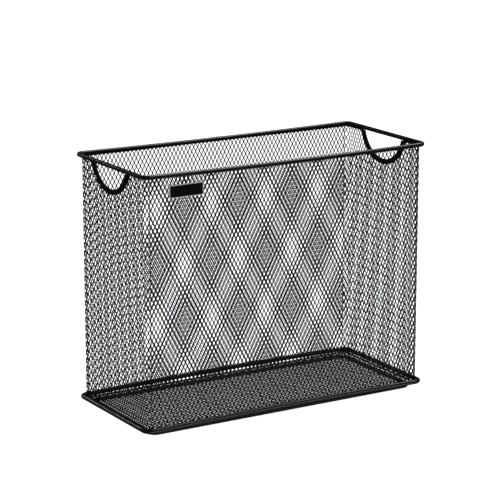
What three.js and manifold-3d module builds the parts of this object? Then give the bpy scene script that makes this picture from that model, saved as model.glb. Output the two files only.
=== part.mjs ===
// Hanging file rack: an open-top basket of expanded steel mesh on a frame of bent round wire.
// Units are millimetres, +Z is up. The origin is on the desk, under the middle of the rack.
// X runs along the long front, and the front faces -Y.

import * as THREE from "three";
import { mergeVertices } from "three/addons/utils/BufferGeometryUtils.js";
import Module from "manifold-3d";

// Overall size, measured over the wires.
const LENGTH = 317.5;
const DEPTH = 139.7;
const HEIGHT = 250.8;

// Wires. Each is bent from one length and butt welded at the middle of the back.
const RIM_WIRE_RADIUS = 2.2;
const HOOP_WIRE_RADIUS = 2.4;
const SUPPORT_WIRE_RADIUS = 2;
const WIRE_SIDES = 12;
const BEND_SEGMENTS = 5;
const RUN_SEGMENTS = 8;

// The long runs of the rim sag a little in the middle, and those of the hoop rise a little.
const RIM_SAG = 1.2;
const HOOP_RISE = 1.6;
const HOOP_CENTRE_Z = 7;

// Sheet, and the clearance left wherever two pieces are welded together.
const SHEET = 0.8;
const GAP = 0.3;
const WALL_BEND_RADIUS = 4.1;
const WALL_BELOW_RIM_TOP = 2.8;

// The support wire is set in from the walls.
const SUPPORT_INSET_LONG = 4.5;
const SUPPORT_INSET_SHORT = 6;
const SUPPORT_BEND_RADIUS = 8;

// Hand opening in each end wall: part of a circle whose centre lies above the rim. The left one
// sits a little higher and further back than the right one.
const HANDLE_RADIUS = 33.7;
const RIGHT_HANDLE_CENTRE_Y = 0;
const RIGHT_HANDLE_CENTRE_ABOVE_RIM = 8;
const LEFT_HANDLE_CENTRE_Y = 4;
const LEFT_HANDLE_CENTRE_ABOVE_RIM = 10.5;
const EDGING_BELOW_RIM_CENTRE = 1.9;
const EDGING_WIDTH = 5.1;
const EDGING_THICKNESS = 2.6;
const EDGING_GROOVE_DEPTH = 3.2;
const EDGING_SEGMENTS = 72;

// Nameplate on the front wall.
const PLATE_LENGTH = 36.3;
const PLATE_HEIGHT = 12.5;
const PLATE_THICKNESS = 1.4;
const PLATE_CORNER = 1;
const PLATE_BORDER = 0.7;
const PLATE_POCKET = 0.8;
const PLATE_CENTRE_X = -111.5;
const PLATE_CENTRE_Z = 232.6;

// Derived planes. The base hoop is the widest piece, so the walls stand inside it.
const WALL_OUTER_X = LENGTH / 2 - 2 * HOOP_WIRE_RADIUS - GAP;
const WALL_OUTER_Y = DEPTH / 2 - 2 * HOOP_WIRE_RADIUS - GAP;
const RIM_CENTRE_Z = HEIGHT - RIM_WIRE_RADIUS;
const FLOOR_BOTTOM_Z = 2 * SUPPORT_WIRE_RADIUS + GAP;
const WALL_BOTTOM_Z = FLOOR_BOTTOM_Z;
const WALL_TOP_Z = HEIGHT - WALL_BELOW_RIM_TOP;
const WALL_HEIGHT = WALL_TOP_Z - WALL_BOTTOM_Z;

const QUARTER_TURN = Math.PI / 2;

const wasm = await Module();
wasm.setup();

const powderCoat = new THREE.MeshStandardMaterial({ color: 0x17171a, roughness: 0.42, metalness: 0.35 });
const coatedMesh = new THREE.MeshStandardMaterial({ color: 0x1c1c1f, roughness: 0.5, metalness: 0.35 });
const edgingBlack = new THREE.MeshStandardMaterial({ color: 0x111112, roughness: 0.48, metalness: 0.1 });
const plateMetal = new THREE.MeshStandardMaterial({ color: 0xb9bcc2, roughness: 0.3, metalness: 0.9 });
const plateBlack = new THREE.MeshStandardMaterial({ color: 0x0c0c0d, roughness: 0.35, metalness: 0.1 });

// Solids for cutting: geometry in, manifold out, and back again.
function toSolid(geometry) {
  const bare = geometry.clone();
  bare.deleteAttribute("normal");
  bare.deleteAttribute("uv");
  const merged = mergeVertices(bare, 1e-4);
  return new wasm.Manifold(
    new wasm.Mesh({
      numProp: 3,
      vertProperties: new Float32Array(merged.attributes.position.array),
      triVerts: new Uint32Array(merged.index.array),
    }),
  );
}

function toGeometry(solid) {
  const mesh = solid.getMesh();
  const geometry = new THREE.BufferGeometry();
  geometry.setAttribute("position", new THREE.BufferAttribute(mesh.vertProperties, 3));
  geometry.setIndex(new THREE.BufferAttribute(mesh.triVerts, 1));
  geometry.computeVertexNormals();
  return geometry;
}

// A path through given points, with one sweep step from each point to the next.
class WirePath extends THREE.Curve {
  constructor(points) {
    super();
    this.points = points;
  }

  getPoint(t, target = new THREE.Vector3()) {
    const last = this.points.length - 1;
    const place = t * last;
    const index = Math.min(Math.floor(place), last - 1);
    return target.lerpVectors(this.points[index], this.points[index + 1], place - index);
  }

  getPointAt(u, target) {
    return this.getPoint(u, target);
  }

  getTangentAt(u, target) {
    return this.getTangent(u, target);
  }
}

// Centre line of a bent wire: a rounded rectangle that starts and ends at the weld, in the middle
// of the back. bow lifts the middle of each long run by that much.
function wireLoop(halfX, halfY, bendRadius, z, bow) {
  const runEnd = halfX - bendRadius;
  const sideEnd = halfY - bendRadius;
  const points = [];
  const addOnRun = (x, y) => {
    points.push(new THREE.Vector3(x, y, z + bow * (1 - (x / runEnd) ** 2)));
  };
  const alongRunTo = (endX, y) => {
    const startX = points.at(-1).x;
    for (let step = 1; step <= RUN_SEGMENTS; step += 1) {
      addOnRun(THREE.MathUtils.lerp(startX, endX, step / RUN_SEGMENTS), y);
    }
  };
  const roundBend = (centreX, centreY, startAngle) => {
    for (let step = 0; step <= BEND_SEGMENTS; step += 1) {
      const angle = startAngle - (QUARTER_TURN * step) / BEND_SEGMENTS;
      const x = centreX + bendRadius * Math.cos(angle);
      const y = centreY + bendRadius * Math.sin(angle);
      points.push(new THREE.Vector3(x, y, z));
    }
  };
  const beforeBend = runEnd - GAP;
  addOnRun(GAP / 2, halfY);
  alongRunTo(beforeBend, halfY);
  roundBend(runEnd, sideEnd, QUARTER_TURN);
  roundBend(runEnd, -sideEnd, 0);
  addOnRun(beforeBend, -halfY);
  alongRunTo(-beforeBend, -halfY);
  roundBend(-runEnd, -sideEnd, -QUARTER_TURN);
  roundBend(-runEnd, sideEnd, -2 * QUARTER_TURN);
  addOnRun(-beforeBend, halfY);
  alongRunTo(-GAP / 2, halfY);
  return new WirePath(points);
}

// A many-sided section with one flat side facing straight up and one straight down.
function wireSection(radius) {
  const cornerRadius = radius / Math.cos(Math.PI / WIRE_SIDES);
  const corners = [];
  for (let side = 0; side < WIRE_SIDES; side += 1) {
    const angle = ((side + 0.5) * 2 * Math.PI) / WIRE_SIDES;
    corners.push(new THREE.Vector2(cornerRadius * Math.cos(angle), cornerRadius * Math.sin(angle)));
  }
  return new THREE.Shape(corners);
}

function bentWire(radius, path) {
  return new THREE.ExtrudeGeometry(wireSection(radius), {
    steps: path.points.length - 1,
    extrudePath: path,
  });
}

function roundedRectangle(length, height, radius) {
  const x = length / 2;
  const y = height / 2;
  const shape = new THREE.Shape();
  shape.moveTo(-x + radius, -y);
  shape.lineTo(x - radius, -y);
  shape.absarc(x - radius, -y + radius, radius, -QUARTER_TURN, 0);
  shape.lineTo(x, y - radius);
  shape.absarc(x - radius, y - radius, radius, 0, QUARTER_TURN);
  shape.lineTo(-x + radius, y);
  shape.absarc(-x + radius, y - radius, radius, QUARTER_TURN, 2 * QUARTER_TURN);
  shape.lineTo(-x, -y + radius);
  shape.absarc(-x + radius, -y + radius, radius, 2 * QUARTER_TURN, 3 * QUARTER_TURN);
  return shape;
}

function slab(shape, thickness) {
  return new THREE.ExtrudeGeometry(shape, {
    depth: thickness,
    bevelEnabled: false,
    curveSegments: BEND_SEGMENTS,
  });
}

const rack = new THREE.Group();

function addPiece(name, geometry, material, position = [0, 0, 0], rotation = [0, 0, 0]) {
  const mesh = new THREE.Mesh(geometry, material);
  mesh.name = name;
  mesh.position.set(...position);
  mesh.rotation.set(...rotation);
  rack.add(mesh);
}

// Wire frame.
function addWires() {
  const rimOffset = GAP + RIM_WIRE_RADIUS;
  const rimPath = wireLoop(
    WALL_OUTER_X + rimOffset,
    WALL_OUTER_Y + rimOffset,
    WALL_BEND_RADIUS + rimOffset,
    RIM_CENTRE_Z,
    -RIM_SAG,
  );
  addPiece("top_rim_wire", bentWire(RIM_WIRE_RADIUS, rimPath), powderCoat);

  const hoopOffset = GAP + HOOP_WIRE_RADIUS;
  const hoopPath = wireLoop(
    WALL_OUTER_X + hoopOffset,
    WALL_OUTER_Y + hoopOffset,
    WALL_BEND_RADIUS + hoopOffset,
    HOOP_CENTRE_Z,
    HOOP_RISE,
  );
  addPiece("base_hoop_wire", bentWire(HOOP_WIRE_RADIUS, hoopPath), powderCoat);

  const supportPath = wireLoop(
    WALL_OUTER_X - SUPPORT_INSET_SHORT,
    WALL_OUTER_Y - SUPPORT_INSET_LONG,
    SUPPORT_BEND_RADIUS,
    SUPPORT_WIRE_RADIUS,
    0,
  );
  addPiece("floor_support_wire", bentWire(SUPPORT_WIRE_RADIUS, supportPath), powderCoat);
}

// Front and back walls are flat between the corner bends, which belong to the end walls.
function addLongWalls() {
  const length = 2 * (WALL_OUTER_X - WALL_BEND_RADIUS - GAP);
  const panel = new THREE.BoxGeometry(length, SHEET, WALL_HEIGHT);
  const planeY = WALL_OUTER_Y - SHEET / 2;
  const middleZ = WALL_BOTTOM_Z + WALL_HEIGHT / 2;
  addPiece("front_mesh_wall", panel, coatedMesh, [0, -planeY, middleZ]);
  addPiece("back_mesh_wall", panel, coatedMesh, [0, planeY, middleZ]);
}

// Plan of an end wall: a flat stretch with a quarter bend at each end, drawn for the +X end.
function endWallPlan() {
  const straight = WALL_OUTER_Y - WALL_BEND_RADIUS;
  const centreX = WALL_OUTER_X - WALL_BEND_RADIUS;
  const inner = WALL_BEND_RADIUS - SHEET;
  const plan = new THREE.Shape();
  plan.moveTo(centreX, -straight - WALL_BEND_RADIUS);
  plan.absarc(centreX, -straight, WALL_BEND_RADIUS, -QUARTER_TURN, 0);
  plan.lineTo(WALL_OUTER_X, straight);
  plan.absarc(centreX, straight, WALL_BEND_RADIUS, 0, QUARTER_TURN);
  plan.lineTo(centreX, straight + inner);
  plan.absarc(centreX, straight, inner, QUARTER_TURN, 0, true);
  plan.lineTo(centreX + inner, -straight);
  plan.absarc(centreX, -straight, inner, 0, -QUARTER_TURN, true);
  return plan;
}

// Edging round the hand opening: a ring of channel section, kept only below the rim wire.
// The section is drawn as distance from the opening's centre against distance from the wall plane.
function edgingRing() {
  const inside = HANDLE_RADIUS;
  const outside = HANDLE_RADIUS + EDGING_WIDTH;
  const groove = outside - EDGING_GROOVE_DEPTH;
  const face = EDGING_THICKNESS / 2;
  const slot = SHEET / 2 + GAP;
  const section = [
    [inside, -face],
    [outside, -face],
    [outside, -slot],
    [groove, -slot],
    [groove, slot],
    [outside, slot],
    [outside, face],
    [inside, face],
    [inside, -face],
  ].map(([x, y]) => new THREE.Vector2(x, y));
  const ring = new THREE.LatheGeometry(section, EDGING_SEGMENTS);
  return toSolid(ring.rotateZ(-QUARTER_TURN));
}

// One end wall with its hand opening and edging, drawn for the +X end and then given its turn
// about the upright axis. The opening's centre is given as it lies before the turn.
function addEnd(side, openingY, openingZ, turn) {
  const wallPlaneX = WALL_OUTER_X - SHEET / 2;
  const openingRadius = HANDLE_RADIUS + EDGING_WIDTH - EDGING_GROOVE_DEPTH + GAP;
  const opening = new THREE.CylinderGeometry(openingRadius, openingRadius, DEPTH, EDGING_SEGMENTS);
  opening.rotateZ(QUARTER_TURN);
  opening.translate(wallPlaneX, openingY, openingZ);
  const sheet = slab(endWallPlan(), WALL_HEIGHT).translate(0, 0, WALL_BOTTOM_Z);
  const endWall = toGeometry(toSolid(sheet).subtract(toSolid(opening)));
  addPiece(`${side}_end_mesh_wall`, endWall, coatedMesh, [0, 0, 0], [0, 0, turn]);

  const edgingTopZ = RIM_CENTRE_Z - EDGING_BELOW_RIM_CENTRE;
  const keepSize = 4 * HANDLE_RADIUS;
  const keep = new THREE.BoxGeometry(keepSize, keepSize, keepSize);
  keep.translate(0, 0, edgingTopZ - openingZ - keepSize / 2);
  const edging = toGeometry(edgingRing().intersect(toSolid(keep)).translate(wallPlaneX, openingY, openingZ));
  addPiece(`${side}_handle_edging`, edging, edgingBlack, [0, 0, 0], [0, 0, turn]);
}

function addEnds() {
  const rightZ = RIM_CENTRE_Z + RIGHT_HANDLE_CENTRE_ABOVE_RIM;
  const leftZ = RIM_CENTRE_Z + LEFT_HANDLE_CENTRE_ABOVE_RIM;
  addEnd("right", RIGHT_HANDLE_CENTRE_Y, rightZ, 0);
  addEnd("left", -LEFT_HANDLE_CENTRE_Y, leftZ, 2 * QUARTER_TURN);
}

function addFloor() {
  const edge = SHEET + GAP;
  const plan = roundedRectangle(
    2 * (WALL_OUTER_X - edge),
    2 * (WALL_OUTER_Y - edge),
    WALL_BEND_RADIUS - edge,
  );
  addPiece("mesh_floor", slab(plan, SHEET), coatedMesh, [0, 0, FLOOR_BOTTOM_Z]);
}

// The plate stands against the outside of the front wall. Its black face fills a shallow pocket.
function addNameplate() {
  const facingFront = [QUARTER_TURN, 0, 0];
  const backY = -(WALL_OUTER_Y + GAP);
  const body = slab(roundedRectangle(PLATE_LENGTH, PLATE_HEIGHT, PLATE_CORNER), PLATE_THICKNESS);
  const pocketLength = PLATE_LENGTH - 2 * PLATE_BORDER;
  const pocketHeight = PLATE_HEIGHT - 2 * PLATE_BORDER;
  const pocket = new THREE.BoxGeometry(pocketLength, pocketHeight, 2 * PLATE_POCKET);
  pocket.translate(0, 0, PLATE_THICKNESS);
  const frame = toGeometry(toSolid(body).subtract(toSolid(pocket)));
  const insertThickness = PLATE_POCKET - GAP;
  const insert = new THREE.BoxGeometry(pocketLength - 2 * GAP, pocketHeight - 2 * GAP, insertThickness);
  const insertY = backY - PLATE_THICKNESS + insertThickness / 2;
  addPiece("nameplate", frame, plateMetal, [PLATE_CENTRE_X, backY, PLATE_CENTRE_Z], facingFront);
  addPiece("nameplate_insert", insert, plateBlack, [PLATE_CENTRE_X, insertY, PLATE_CENTRE_Z], facingFront);
}

addWires();
addLongWalls();
addEnds();
addFloor();
addNameplate();

export default rack;
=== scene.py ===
"""Looks of the hanging file rack: expanded steel mesh walls and floor on bent round wires."""

import math

import bpy
import numpy as np
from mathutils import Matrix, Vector
from mathutils.geometry import delaunay_2d_cdt


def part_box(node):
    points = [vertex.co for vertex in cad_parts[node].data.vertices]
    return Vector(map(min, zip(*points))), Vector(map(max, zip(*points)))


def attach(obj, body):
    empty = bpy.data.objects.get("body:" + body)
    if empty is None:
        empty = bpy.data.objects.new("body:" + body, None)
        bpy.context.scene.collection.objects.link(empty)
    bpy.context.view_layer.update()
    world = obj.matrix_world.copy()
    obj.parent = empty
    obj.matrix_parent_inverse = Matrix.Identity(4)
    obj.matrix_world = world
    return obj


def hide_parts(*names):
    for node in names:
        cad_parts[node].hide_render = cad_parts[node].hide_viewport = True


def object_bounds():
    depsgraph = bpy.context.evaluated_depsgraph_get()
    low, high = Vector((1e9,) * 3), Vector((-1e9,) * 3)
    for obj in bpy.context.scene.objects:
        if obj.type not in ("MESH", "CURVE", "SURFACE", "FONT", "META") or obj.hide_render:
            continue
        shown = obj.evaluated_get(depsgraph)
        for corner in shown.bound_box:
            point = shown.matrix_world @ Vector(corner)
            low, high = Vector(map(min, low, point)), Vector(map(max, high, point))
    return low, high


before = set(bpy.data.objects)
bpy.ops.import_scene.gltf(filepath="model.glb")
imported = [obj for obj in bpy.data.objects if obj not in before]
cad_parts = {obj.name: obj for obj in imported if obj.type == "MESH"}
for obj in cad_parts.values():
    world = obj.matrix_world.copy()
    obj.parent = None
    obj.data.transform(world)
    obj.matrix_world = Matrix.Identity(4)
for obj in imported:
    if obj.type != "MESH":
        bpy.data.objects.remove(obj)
cad_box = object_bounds()

MM = 0.001
QUARTER = math.pi / 2

# Diamond pattern of the expanded mesh. On the walls its long way stands upright.
SHORT_WAY = 4.43 * MM
LONG_WAY = 8.3 * MM
STRAND = 0.82 * MM
STRAND_METAL = 0.36 * MM
HOLE_TIP = 0.18 * MM
HOLE_SIDE = 0.45 * MM

# A hole cut down to less than this share of a whole one is left closed.
SMALLEST_HOLE = 0.25

# How far the edges of a strand stand out of the sheet, as each strand is a little twisted.
STRAND_TWIST = 0.12 * MM
FLOOR_TWIST = 0.22 * MM

# Marks the corners of a sheet's outline, as the holes are numbered from 0.
EDGE_OWNER = -1
NOTCH_OWNER = -2

# Corners closer than this are one corner when a sheet is cut into triangles.
SAME_POINT = 1e-9

# Solid margins left round each sheet of mesh.
TOP_SELVAGE = 2.2 * MM
BOTTOM_SELVAGE = 1.2 * MM
SIDE_SELVAGE = 0.3 * MM
FLOOR_SELVAGE = 1.2 * MM
NOTCH_SELVAGE = 1.2 * MM

# Corner bends of the walls.
WALL_BEND = 4.1 * MM
WALL_BEND_STEPS = 8

# Wires. A wire's bow lifts the middle of its long runs by that much.
RIM_RADIUS = 2.2 * MM
RIM_BEND = 6.6 * MM
RIM_BOW = -1.2 * MM
HOOP_RADIUS = 2.4 * MM
HOOP_BEND = 7 * MM
HOOP_BOW = 1.6 * MM
SUPPORT_RADIUS = 2 * MM
SUPPORT_BEND = 8 * MM
WIRE_SIDES = 28
BEND_STEPS = 14
RUN_STEPS = 60
SIDE_STEPS = 16
WELD_SWELL = 0.14
WELD_LENGTH = 2.2 * MM

# Hand openings, with an edging of channel section over the cut edge of the mesh.
# Each opening's centre is given as its Y and its height above the middle of the rim wire.
HANDLE_RADIUS = 33.7 * MM
LEFT_HANDLE_CENTRE = (4 * MM, 10.5 * MM)
RIGHT_HANDLE_CENTRE = (0, 8 * MM)
EDGING_WIDTH = 5.1 * MM
EDGING_THICKNESS = 2.6 * MM
EDGING_SLOT = 1.4 * MM
EDGING_GROOVE = 3.2 * MM
EDGING_CORNER = 0.8 * MM
EDGING_CLEARANCE = 0.3 * MM
EDGING_STEPS = 64
NOTCH_RADIUS = HANDLE_RADIUS + EDGING_WIDTH - EDGING_GROOVE + EDGING_CLEARANCE

# Steps in a small rounded corner or lip, and in each corner of the edging's nose.
CORNER_STEPS = 6
NOSE_STEPS = 5

# Nameplate.
PLATE_BORDER = 0.7 * MM
PLATE_CORNER = 1 * MM
PLATE_ROLL = 0.15 * MM
PLATE_CLEARANCE = 0.15 * MM

# Where a rounded edge lies after half its inset, as a share of its depth.
ROUND_SHARE = 0.3

# Glow of the lit table in the low front wires: its strength, and how far out it starts and ends.
GLOW = 0.6
GLOW_START = 5 * MM
GLOW_END = 80 * MM

# Camera, as the rack is looked at: from its left end, a little above. Angles are in degrees.
VIEW_AZIMUTH = -31.37
VIEW_ELEVATION = 13.8
VIEW_DISTANCE = 2.136
VIEW_TARGET = Vector((-0.003, 0, 0.1483))
VIEW_LENS = 157.43
VIEW_CLIP_END = 50

# Room and table.
ROOM_GREY = 0.04
TABLE_REACH = 6.0
TABLE_MOTTLE = 0.4


# ---------------------------------------------------------------- small helpers

def link(obj):
    bpy.context.scene.collection.objects.link(obj)
    return obj


def mesh_object(name, points, faces, smooth=True):
    """A mesh object with its place in its vertices."""
    mesh = bpy.data.meshes.new(name)
    mesh.from_pydata([tuple(p) for p in points], [], [tuple(int(i) for i in f) for f in faces])
    mesh.validate()
    mesh.polygons.foreach_set("use_smooth", [smooth] * len(mesh.polygons))
    mesh.update()
    return link(bpy.data.objects.new(name, mesh))


def place(obj, material, slot, *nodes):
    """Gives a piece its material and its body, and hides the CAD nodes that it stands for."""
    obj.data.materials.clear()
    obj.data.materials.append(material)
    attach(obj, "root")
    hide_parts(*nodes)


def middle(node):
    low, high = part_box(node)
    return (low + high) / 2


def sheet_thickness():
    low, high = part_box("front_mesh_wall")
    return high.y - low.y


# ---------------------------------------------------------------- materials

class Nodes:
    """A material's node tree, built with short calls."""

    def __init__(self, name):
        self.material = bpy.data.materials.new(name)
        self.material.use_nodes = True
        self.tree = self.material.node_tree
        self.shader = self.tree.nodes["Principled BSDF"]
        self.place = self.add("ShaderNodeTexCoord").outputs["Object"]

    def add(self, kind, **settings):
        node = self.tree.nodes.new(kind)
        for key, value in settings.items():
            setattr(node, key, value)
        return node

    def join(self, source, target):
        self.tree.links.new(source, target)

    def noise(self, size, detail=3.0, roughness=0.55):
        """Noise whose blotches are about size metres across."""
        node = self.add("ShaderNodeTexNoise")
        node.inputs["Scale"].default_value = 1 / size
        node.inputs["Detail"].default_value = detail
        node.inputs["Roughness"].default_value = roughness
        self.join(self.place, node.inputs["Vector"])
        return node.outputs["Fac"]

    def spread(self, value, low, high):
        """Noise, which keeps near 0.5, spread over the range low to high."""
        node = self.add("ShaderNodeMapRange")
        node.inputs["From Min"].default_value = 0.3
        node.inputs["From Max"].default_value = 0.7
        node.inputs["To Min"].default_value = low
        node.inputs["To Max"].default_value = high
        self.join(value, node.inputs["Value"])
        return node.outputs["Result"]

    def blend(self, factor, first, second):
        node = self.add("ShaderNodeMix", data_type="RGBA")
        node.inputs["A"].default_value = (*first, 1)
        node.inputs["B"].default_value = (*second, 1)
        self.join(factor, node.inputs["Factor"])
        return node.outputs["Result"]

    def bump(self, height, strength, distance):
        node = self.add("ShaderNodeBump")
        node.inputs["Strength"].default_value = strength
        node.inputs["Distance"].default_value = distance
        self.join(height, node.inputs["Height"])
        self.join(node.outputs["Normal"], self.shader.inputs["Normal"])

    def set(self, **values):
        for key, value in values.items():
            self.shader.inputs[key.replace("_", " ")].default_value = value


def powder_coat(name, dark, light, roughness, grain, gloss=0.5):
    """Satin black powder coat: faint colour drift, uneven sheen and a fine orange peel.

    grain is the size of the peel's bumps, and gloss scales how much the coat reflects."""
    drift_size, sheen_size, sheen_spread = 9 * MM, 2.5 * MM, 0.06
    nodes = Nodes(name)
    drift = nodes.spread(nodes.noise(drift_size), 0, 1)
    nodes.join(nodes.blend(drift, dark, light), nodes.shader.inputs["Base Color"])
    sheen = nodes.spread(nodes.noise(sheen_size), roughness - sheen_spread, roughness + sheen_spread)
    nodes.join(sheen, nodes.shader.inputs["Roughness"])
    nodes.bump(nodes.noise(grain, detail=2.0), strength=0.35, distance=0.05 * MM)
    nodes.set(IOR=1.5, Specular_IOR_Level=gloss)
    return nodes.material


def bright_metal(name):
    """Lacquered bright metal with a fine brushed grain along X."""
    grain_width, grain_stretch = 0.12 * MM, 25
    nodes = Nodes(name)
    stretch = nodes.add("ShaderNodeMapping")
    stretch.inputs["Scale"].default_value = (1 / grain_stretch, 1, 1)
    nodes.join(nodes.place, stretch.inputs["Vector"])
    nodes.place = stretch.outputs["Vector"]
    streaks = nodes.noise(grain_width, detail=4.0)
    tone = nodes.blend(nodes.spread(streaks, 0, 1), (0.74, 0.75, 0.77), (0.86, 0.87, 0.89))
    nodes.join(tone, nodes.shader.inputs["Base Color"])
    nodes.join(nodes.spread(streaks, 0.24, 0.4), nodes.shader.inputs["Roughness"])
    nodes.bump(streaks, strength=0.2, distance=0.02 * MM)
    nodes.set(Metallic=0.25)
    return nodes.material


wire_coat = powder_coat(
    "wire_powder_coat", dark=(0.004, 0.004, 0.0045), light=(0.008, 0.008, 0.008),
    roughness=0.3, grain=0.9 * MM)
mesh_coat = powder_coat(
    "mesh_powder_coat", dark=(0.003, 0.003, 0.0035), light=(0.006, 0.006, 0.006),
    roughness=0.42, grain=0.5 * MM, gloss=0.2)
edging_coat = powder_coat(
    "edging_black", dark=(0.002, 0.002, 0.0025), light=(0.004, 0.004, 0.004),
    roughness=0.6, grain=0.7 * MM, gloss=0.15)
plate_face = powder_coat(
    "nameplate_black", dark=(0.002, 0.002, 0.002), light=(0.004, 0.004, 0.004),
    roughness=0.3, grain=1.2 * MM, gloss=0.3)
plate_border = bright_metal("bright_border")


# ---------------------------------------------------------------- expanded mesh

def hole_outline():
    """Corners of one diamond hole about its centre, counter-clockwise, with blunted tips."""
    half_short, half_long = SHORT_WAY / 2, LONG_WAY / 2
    slope = math.hypot(half_short, half_long)
    reach_s = half_short - STRAND / 2 * slope / half_long
    reach_t = half_long - STRAND / 2 * slope / half_short
    tip_t = reach_t * (1 - HOLE_TIP / reach_s)
    side_s = reach_s * (1 - HOLE_SIDE / reach_t)
    upper = [(side_s, HOLE_SIDE), (HOLE_TIP, tip_t), (-HOLE_TIP, tip_t), (-side_s, HOLE_SIDE)]
    return np.array(upper + [(-s, -t) for s, t in upper])


def polygon_area(points):
    s, t = points[:, 0], points[:, 1]
    return 0.5 * float(np.sum(s * np.roll(t, -1) - t * np.roll(s, -1)))


def clipped(points, direction, limit):
    """The part of a convex polygon that lies at least limit along direction."""
    depth = points @ direction - limit
    kept = []
    for i, here in enumerate(points):
        after = (i + 1) % len(points)
        if depth[i] >= 0:
            kept.append(here)
        if (depth[i] > 0 > depth[after]) or (depth[i] < 0 < depth[after]):
            share = depth[i] / (depth[i] - depth[after])
            kept.append(here + share * (points[after] - here))
    return np.array(kept)


def mesh_holes(low, high, centre, notch):
    """Diamond holes that fall between the corners low and high, cut off where they cross the edge.

    centre is where one hole has its middle. notch is None or (middle, radius) of a round cut-out.
    Each hole is given as the s of its middle and its corners."""
    outline = hole_outline()
    smallest = SMALLEST_HOLE * polygon_area(outline)
    borders = [
        (np.array([1, 0]), low[0]),
        (np.array([-1, 0]), -high[0]),
        (np.array([0, 1]), low[1]),
        (np.array([0, -1]), -high[1]),
    ]
    holes = []
    first_row = math.floor(2 * (low[1] - centre[1]) / LONG_WAY) - 1
    last_row = math.ceil(2 * (high[1] - centre[1]) / LONG_WAY) + 1
    for row in range(first_row, last_row + 1):
        shift = centre[0] + (SHORT_WAY / 2 if row % 2 else 0)
        first = math.floor((low[0] - shift) / SHORT_WAY) - 1
        last = math.ceil((high[0] - shift) / SHORT_WAY) + 1
        for column in range(first, last + 1):
            middle_point = np.array([shift + column * SHORT_WAY, centre[1] + row * LONG_WAY / 2])
            hole = outline + middle_point
            limits = list(borders)
            if notch is not None:
                away = (middle_point - notch[0]) / np.linalg.norm(middle_point - notch[0])
                limits.append((away, away @ notch[0] + notch[1]))
            for direction, limit in limits:
                if len(hole) and (hole @ direction).min() < limit:
                    hole = clipped(hole, direction, limit)
            if len(hole) >= 3 and polygon_area(hole) > smallest:
                holes.append((middle_point[0], hole))
    return holes


def expanded_sheet(name, edge, holes, to_space, lean=STRAND_TWIST, notch_points=0):
    """A closed sheet with holes. edge is its outline; to_space turns (s, t, depth) into points.

    lean is how far the edges of a strand stand out of the sheet. The first notch_points points of
    the outline run round a notch."""
    flat = [Vector(p) for p in edge]
    owner = [NOTCH_OWNER] * notch_points + [EDGE_OWNER] * (len(edge) - notch_points)
    twist = [0.0] * len(edge)
    lines = [(i, (i + 1) % len(edge)) for i in range(len(edge))]
    half_hole = SHORT_WAY / 2
    for number, (middle_s, hole) in enumerate(holes):
        start = len(flat)
        flat += [Vector(p) for p in hole]
        owner += [number] * len(hole)
        twist += [float(lean * (middle_s - s) / half_hole) for s in hole[:, 0]]
        lines += [(start + i, start + (i + 1) % len(hole)) for i in range(len(hole))]
    corners, _, triangles, _, _, _ = delaunay_2d_cdt(flat, lines, [], 0, SAME_POINT, False)
    if len(corners) != len(flat):
        raise ValueError(f"{name}: two of its outlines touch")
    owner = np.array(owner)
    triangles = np.array(triangles)
    owners = owner[triangles]
    one_owner = (owners[:, 0] == owners[:, 1]) & (owners[:, 1] == owners[:, 2])
    triangles = triangles[~one_owner | (owners[:, 0] == EDGE_OWNER)]

    count = len(flat)
    s = np.array([p[0] for p in flat])
    t = np.array([p[1] for p in flat])
    depth = np.array(twist)
    half_metal = STRAND_METAL / 2
    points = np.vstack([to_space(s, t, depth + half_metal), to_space(s, t, depth - half_metal)])
    sides = np.vstack([triangles[:, [0, 1]], triangles[:, [1, 2]], triangles[:, [2, 0]]])
    forward = set(map(tuple, sides.tolist()))
    walls = [(b, a, a + count, b + count) for a, b in forward if (b, a) not in forward]
    back = triangles[:, ::-1] + count
    faces = triangles.tolist() + back.tolist() + sorted(walls)
    return mesh_object(name, points, faces, smooth=False)


def straight_wall(node, name, facing):
    """Front or back wall. facing is -1 for the front, whose outside looks along -Y, or 1."""
    low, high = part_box(node)
    size = high - low
    edge = [(0, 0), (size.x, 0), (size.x, size.z), (0, size.z)]
    holes = mesh_holes(
        (SIDE_SELVAGE, BOTTOM_SELVAGE),
        (size.x - SIDE_SELVAGE, size.z - TOP_SELVAGE),
        (size.x / 2, size.z / 2),
        None,
    )
    plane_y = (low.y + high.y) / 2

    def to_space(s, t, depth):
        x = -facing * (s - size.x / 2)
        return np.column_stack([x, plane_y + facing * depth, low.z + t])

    return expanded_sheet(name, edge, holes, to_space)


def arc_points(centre, radius, start, end, steps):
    angles = np.linspace(start, end, steps + 1)
    return [(centre[0] + radius * math.cos(a), centre[1] + radius * math.sin(a)) for a in angles]


def handle_centre(above_rim):
    """Height of the point that a hand opening is drawn about."""
    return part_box("top_rim_wire")[1].z - RIM_RADIUS + above_rim


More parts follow.
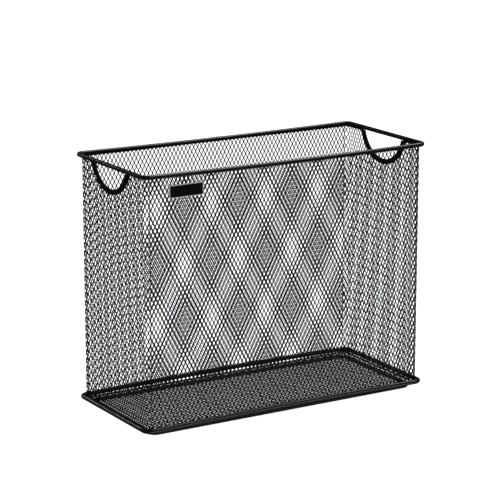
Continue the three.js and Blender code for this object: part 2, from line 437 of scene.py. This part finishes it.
def end_wall(node, name, facing, opening):
    """Left (facing -1) or right (facing 1) end wall with its corner bends, unrolled about Y = 0.

    opening is the centre of the hand opening: its Y and its height above the rim."""
    low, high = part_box(node)
    thickness = sheet_thickness()
    height = high.z - low.z
    straight = high.y - WALL_BEND
    bend_radius = WALL_BEND - thickness / 2
    reach = straight + bend_radius * QUARTER
    plane_x = max(abs(low.x), abs(high.x)) - thickness / 2

    centre = (facing * opening[0], handle_centre(opening[1]) - low.z)
    rise = math.asin((height - centre[1]) / NOTCH_RADIUS)
    arc = arc_points(centre, NOTCH_RADIUS, -math.pi - rise, rise, EDGING_STEPS)
    # The outline needs points along its bends, or its edges would cut straight across them.
    bend = np.linspace(straight, reach, WALL_BEND_STEPS + 1)
    edge = [*reversed(arc)]
    edge += [(-s, height) for s in bend] + [(-s, 0) for s in reversed(bend)]
    edge += [(s, 0) for s in bend] + [(s, height) for s in reversed(bend)]
    holes = mesh_holes(
        (-reach + SIDE_SELVAGE, BOTTOM_SELVAGE),
        (reach - SIDE_SELVAGE, height - TOP_SELVAGE),
        (0, height / 2),
        (np.array(centre), NOTCH_RADIUS + NOTCH_SELVAGE),
    )

    def to_space(s, t, depth):
        along = np.clip(s, -straight, straight)
        turn = (s - along) / bend_radius
        out = bend_radius + depth
        x = plane_x - bend_radius + out * np.cos(turn)
        y = along + out * np.sin(turn)
        return np.column_stack([facing * x, facing * y, low.z + t])

    return expanded_sheet(name, edge, holes, to_space, notch_points=len(arc))


def floor_sheet():
    """Mesh floor, with the long way of its diamonds along X."""
    low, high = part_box("mesh_floor")
    reach_x, reach_y = high.x, high.y
    corner = WALL_BEND - sheet_thickness()
    edge = []
    for turn, (sign_s, sign_t) in enumerate([(-1, -1), (1, -1), (1, 1), (-1, 1)]):
        centre = (sign_s * (reach_y - corner), sign_t * (reach_x - corner))
        start = (turn - 2) * QUARTER
        edge += arc_points(centre, corner, start, start + QUARTER, CORNER_STEPS)
    inside_s, inside_t = reach_y - FLOOR_SELVAGE, reach_x - FLOOR_SELVAGE
    holes = mesh_holes((-inside_s, -inside_t), (inside_s, inside_t), (0, 0), None)
    plane_z = (low.z + high.z) / 2

    def to_space(s, t, depth):
        return np.column_stack([t, s, plane_z - depth])

    return expanded_sheet("floor_mesh", edge, holes, to_space, lean=-FLOOR_TWIST)


# ---------------------------------------------------------------- wires

def wire_path(node, radius, bend, bow):
    """Points and outward directions of a wire's centre line, from the back's middle, clockwise."""
    low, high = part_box(node)
    reach_x, reach_y = high.x - radius, high.y - radius
    run_end, side_end = reach_x - bend, reach_y - bend
    level = high.z - radius if bow <= 0 else low.z + radius
    path = []

    def add_run(from_x, to_x, y):
        for x in np.linspace(from_x, to_x, RUN_STEPS, endpoint=False):
            path.append(((x, y), (0, math.copysign(1, y))))

    def add_bend(centre_x, centre_y, start):
        for angle in np.linspace(start, start - QUARTER, BEND_STEPS, endpoint=False):
            out = (math.cos(angle), math.sin(angle))
            path.append(((centre_x + bend * out[0], centre_y + bend * out[1]), out))

    def add_side(x, from_y, to_y):
        for y in np.linspace(from_y, to_y, SIDE_STEPS, endpoint=False):
            path.append(((x, y), (math.copysign(1, x), 0)))

    add_run(0, run_end, reach_y)
    add_bend(run_end, side_end, QUARTER)
    add_side(reach_x, side_end, -side_end)
    add_bend(run_end, -side_end, 0)
    add_run(run_end, -run_end, -reach_y)
    add_bend(-run_end, -side_end, -QUARTER)
    add_side(-reach_x, -side_end, side_end)
    add_bend(-run_end, side_end, -2 * QUARTER)
    add_run(-run_end, 0, reach_y)

    centres, outward = [], []
    for (x, y), out in path:
        inside = min(1.0, abs(x) / run_end)
        centres.append((x, y, level + bow * (1 - inside ** 2)))
        outward.append((*out, 0))
    return np.array(centres), np.array(outward)


def bent_wire(node, name, radius, bend, bow, weld_swell=WELD_SWELL):
    """A closed round wire, a little thicker at its butt weld in the middle of the back."""
    centres, outward = wire_path(node, radius, bend, bow)
    from_weld = np.where(centres[:, 1] > 0, np.abs(centres[:, 0]), np.inf)
    swell = 1 + weld_swell * np.exp(-(from_weld / WELD_LENGTH) ** 2)
    points = []
    for centre, out, size in zip(centres, outward, swell):
        for angle in np.arange(WIRE_SIDES) * 2 * math.pi / WIRE_SIDES:
            across = radius * size * math.cos(angle)
            up = radius * size * math.sin(angle)
            points.append(centre + across * out + np.array([0, 0, up]))
    faces = []
    rings = len(centres)
    for ring in range(rings):
        here, after = ring * WIRE_SIDES, (ring + 1) % rings * WIRE_SIDES
        for side in range(WIRE_SIDES):
            other = (side + 1) % WIRE_SIDES
            faces.append((here + side, here + other, after + other, after + side))
    return mesh_object(name, points, faces)


# ---------------------------------------------------------------- hand opening edging

def edging_section():
    """Channel section: distance from the opening's centre, and distance from the wall's plane."""
    nose = HANDLE_RADIUS
    lip = HANDLE_RADIUS + EDGING_WIDTH
    face = EDGING_THICKNESS / 2
    slot = EDGING_SLOT / 2
    groove = lip - EDGING_GROOVE
    turn = EDGING_CORNER
    lip_turn = (face - slot) / 2
    section = arc_points((nose + turn, face - turn), turn, 2 * QUARTER, QUARTER, NOSE_STEPS)
    section += arc_points((lip - lip_turn, face - lip_turn), lip_turn, QUARTER, -QUARTER, CORNER_STEPS)
    section += [(groove, slot), (groove, -slot)]
    section += arc_points((lip - lip_turn, lip_turn - face), lip_turn, QUARTER, -QUARTER, CORNER_STEPS)
    section += arc_points((nose + turn, turn - face), turn, -QUARTER, -2 * QUARTER, NOSE_STEPS)
    return section


def handle_edging(node, name, opening):
    """Edging round the lower part of a circle, cut off level just under the rim wire."""
    low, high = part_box(node)
    plane_x = (low.x + high.x) / 2
    centre_y, centre_z = opening[0], handle_centre(opening[1])
    drop = centre_z - high.z
    section = edging_section()
    points = []
    for share in np.linspace(0, 1, EDGING_STEPS + 1):
        for reach, off in section:
            end = math.asin(drop / reach)
            angle = -end - share * (math.pi - 2 * end)
            y, z = centre_y + reach * math.cos(angle), centre_z + reach * math.sin(angle)
            points.append((plane_x + off, y, z))
    size = len(section)
    faces = []
    for step in range(EDGING_STEPS):
        here, after = step * size, (step + 1) * size
        for side in range(size):
            other = (side + 1) % size
            faces.append((here + side, after + side, after + other, here + other))
    last = EDGING_STEPS * size
    faces.append(tuple(range(size)))
    faces.append(tuple(reversed(range(last, last + size))))
    return mesh_object(name, points, faces)


# ---------------------------------------------------------------- nameplate

def rounded_outline(length, height, corner):
    points = []
    for turn, (sign_x, sign_z) in enumerate([(-1, -1), (1, -1), (1, 1), (-1, 1)]):
        centre = (sign_x * (length / 2 - corner), sign_z * (height / 2 - corner))
        start = (turn - 2) * QUARTER
        points += arc_points(centre, corner, start, start + QUARTER, CORNER_STEPS)
    return points


def stacked_outlines(name, centre, rings):
    """A closed solid through nested outlines. Each ring is (length, height, corner, y)."""
    points, faces = [], []
    for length, height, corner, y in rings:
        for x, z in rounded_outline(length, height, corner):
            points.append((centre.x + x, y, centre.z + z))
    size = len(points) // len(rings)
    for ring in range(len(rings) - 1):
        here, after = ring * size, (ring + 1) * size
        for side in range(size):
            other = (side + 1) % size
            faces.append((here + side, here + other, after + other, after + side))
    last = (len(rings) - 1) * size
    faces.append(tuple(reversed(range(size))))
    faces.append(tuple(range(last, last + size)))
    return mesh_object(name, points, faces)


def nameplate_frame():
    """Pressed border with a rolled edge, standing a little proud of the black face."""
    low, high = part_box("nameplate")
    size = high - low
    roll = PLATE_ROLL
    inner = PLATE_BORDER
    corner = PLATE_CORNER
    pocket_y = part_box("nameplate_insert")[1].y + PLATE_CLEARANCE
    rings = [
        (size.x, size.z, corner, high.y),
        (size.x, size.z, corner, low.y + roll),
        (size.x - roll, size.z - roll, corner, low.y + ROUND_SHARE * roll),
        (size.x - 2 * roll, size.z - 2 * roll, corner, low.y),
        (size.x - 2 * inner + roll, size.z - 2 * inner + roll, corner / 2, low.y),
        (size.x - 2 * inner, size.z - 2 * inner, corner / 2, low.y + roll / 2),
        (size.x - 2 * inner, size.z - 2 * inner, corner / 2, pocket_y),
    ]
    return stacked_outlines("nameplate_border", middle("nameplate"), rings)


def nameplate_face():
    """Blank black face with softened edges."""
    low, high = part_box("nameplate_insert")
    size = high - low
    soft = PLATE_CLEARANCE
    corner = PLATE_CORNER / 2
    rings = [
        (size.x, size.z, corner, high.y),
        (size.x, size.z, corner, low.y + soft),
        (size.x - soft, size.z - soft, corner, low.y + ROUND_SHARE * soft),
        (size.x - 2 * soft, size.z - 2 * soft, corner, low.y),
    ]
    return stacked_outlines("nameplate_face", middle("nameplate_insert"), rings)


# ---------------------------------------------------------------- stage, light and camera

def flat_rectangle(name, low_x, low_y, high_x, high_y):
    points = [(low_x, low_y, 0), (high_x, low_y, 0), (high_x, high_y, 0), (low_x, high_y, 0)]
    return mesh_object(name, points, [(0, 1, 2, 3)], smooth=False)


def pale_floor():
    """A plain pale surface, far larger than the view."""
    floor = flat_rectangle("pale_floor", -TABLE_REACH, -TABLE_REACH, TABLE_REACH, TABLE_REACH)
    nodes = Nodes("pale_floor")
    tone = nodes.blend(nodes.noise(TABLE_MOTTLE), (0.9, 0.9, 0.9), (0.92, 0.92, 0.92))
    nodes.join(tone, nodes.shader.inputs["Base Color"])
    nodes.set(Roughness=0.6, Emission_Color=(1, 1, 1, 1), Emission_Strength=1.0)
    floor.data.materials.append(nodes.material)
    floor.visible_glossy = False


def table_glow():
    """The lit table close in front of the rack, seen only in reflections in the low front wires."""
    front, reach_x = cad_box[0].y, cad_box[1].x
    glow = flat_rectangle("table_glow", -reach_x, front - GLOW_END, reach_x, front - GLOW_START)
    nodes = Nodes("table_glow")
    tone = nodes.blend(nodes.noise(TABLE_MOTTLE), (0.95, 0.95, 0.95), (1, 1, 1))
    nodes.join(tone, nodes.shader.inputs["Emission Color"])
    nodes.set(Emission_Strength=GLOW)
    glow.data.materials.append(nodes.material)
    glow.visible_camera = False
    glow.visible_diffuse = False
    glow.visible_shadow = False


def place_at(obj, target, azimuth, elevation, distance):
    """Puts a lamp or camera round target and turns it to look there.

    The angles are in degrees. Azimuth 0 is in front, at -Y, and 90 is at +X."""
    around, above = math.radians(azimuth), math.radians(elevation)
    back = Vector((
        math.sin(around) * math.cos(above),
        -math.cos(around) * math.cos(above),
        math.sin(above),
    ))
    obj.location = target + distance * back
    obj.rotation_euler = back.to_track_quat("Z", "Y").to_euler()


def soft_box(name, azimuth, elevation, distance, size, power, aim=0.12, spread=180):
    """A square area light, aimed at the height aim in the middle of the rack."""
    data = bpy.data.lights.new(name, "AREA")
    data.size = size
    data.energy = power
    data.spread = math.radians(spread)
    lamp = link(bpy.data.objects.new(name, data))
    lamp.visible_camera = False
    place_at(lamp, Vector((0, 0, aim)), azimuth, elevation, distance)


def studio_world():
    """White behind the rack, and a dim grey room in what its black paint reflects."""
    world = bpy.data.worlds.new("studio")
    world.use_nodes = True
    tree = world.node_tree
    room = tree.nodes["Background"]
    room.inputs["Color"].default_value = (ROOM_GREY, ROOM_GREY, ROOM_GREY, 1)
    backdrop = tree.nodes.new("ShaderNodeBackground")
    backdrop.inputs["Color"].default_value = (1, 1, 1, 1)
    seen = tree.nodes.new("ShaderNodeLightPath")
    mix = tree.nodes.new("ShaderNodeMixShader")
    tree.links.new(seen.outputs["Is Camera Ray"], mix.inputs["Fac"])
    tree.links.new(room.outputs["Background"], mix.inputs[1])
    tree.links.new(backdrop.outputs["Background"], mix.inputs[2])
    tree.links.new(mix.outputs["Shader"], tree.nodes["World Output"].inputs["Surface"])
    return world


def light_and_camera():
    scene = bpy.context.scene
    scene.world = studio_world()
    scene.view_settings.view_transform = "Standard"
    soft_box("top_light", azimuth=84, elevation=59, distance=2.2, size=0.9, power=22)
    soft_box("back_light", azimuth=145, elevation=46, distance=2.2, size=0.8, power=3)
    # A narrow beam that reaches only the base hoop, so that the rim above stays black.
    soft_box(
        "low_card", azimuth=-158, elevation=26, distance=1.6, size=0.35, power=0.045, aim=0, spread=12)

    data = bpy.data.cameras.new("camera")
    data.lens = VIEW_LENS
    data.clip_end = VIEW_CLIP_END
    camera = link(bpy.data.objects.new("camera", data))
    place_at(camera, VIEW_TARGET, VIEW_AZIMUTH, VIEW_ELEVATION, VIEW_DISTANCE)
    scene.camera = camera


# ---------------------------------------------------------------- the rack

def build_rack():
    rim = bent_wire("top_rim_wire", "rim_wire", RIM_RADIUS, RIM_BEND, RIM_BOW)
    place(rim, wire_coat, "wire_coat", "top_rim_wire")
    hoop = bent_wire("base_hoop_wire", "base_hoop", HOOP_RADIUS, HOOP_BEND, HOOP_BOW)
    place(hoop, wire_coat, "wire_coat", "base_hoop_wire")
    support = bent_wire(
        "floor_support_wire", "support_wire", SUPPORT_RADIUS, SUPPORT_BEND, bow=0, weld_swell=0)
    place(support, wire_coat, "wire_coat", "floor_support_wire")

    for side, facing in (("front", -1), ("back", 1)):
        wall_node = f"{side}_mesh_wall"
        place(straight_wall(wall_node, f"{side}_mesh", facing), mesh_coat, "mesh_coat", wall_node)
    place(floor_sheet(), mesh_coat, "mesh_coat", "mesh_floor")

    for end, facing, opening in (("left", -1, LEFT_HANDLE_CENTRE), ("right", 1, RIGHT_HANDLE_CENTRE)):
        wall_node, edging_node = f"{end}_end_mesh_wall", f"{end}_handle_edging"
        place(end_wall(wall_node, f"{end}_mesh", facing, opening), mesh_coat, "mesh_coat", wall_node)
        edging = handle_edging(edging_node, f"{end}_handle_trim", opening)
        place(edging, edging_coat, "edging_coat", edging_node)

    place(nameplate_frame(), plate_border, "plate_metal", "nameplate")
    place(nameplate_face(), plate_face, "plate_face", "nameplate_insert")


build_rack()
pale_floor()
table_glow()
light_and_camera()
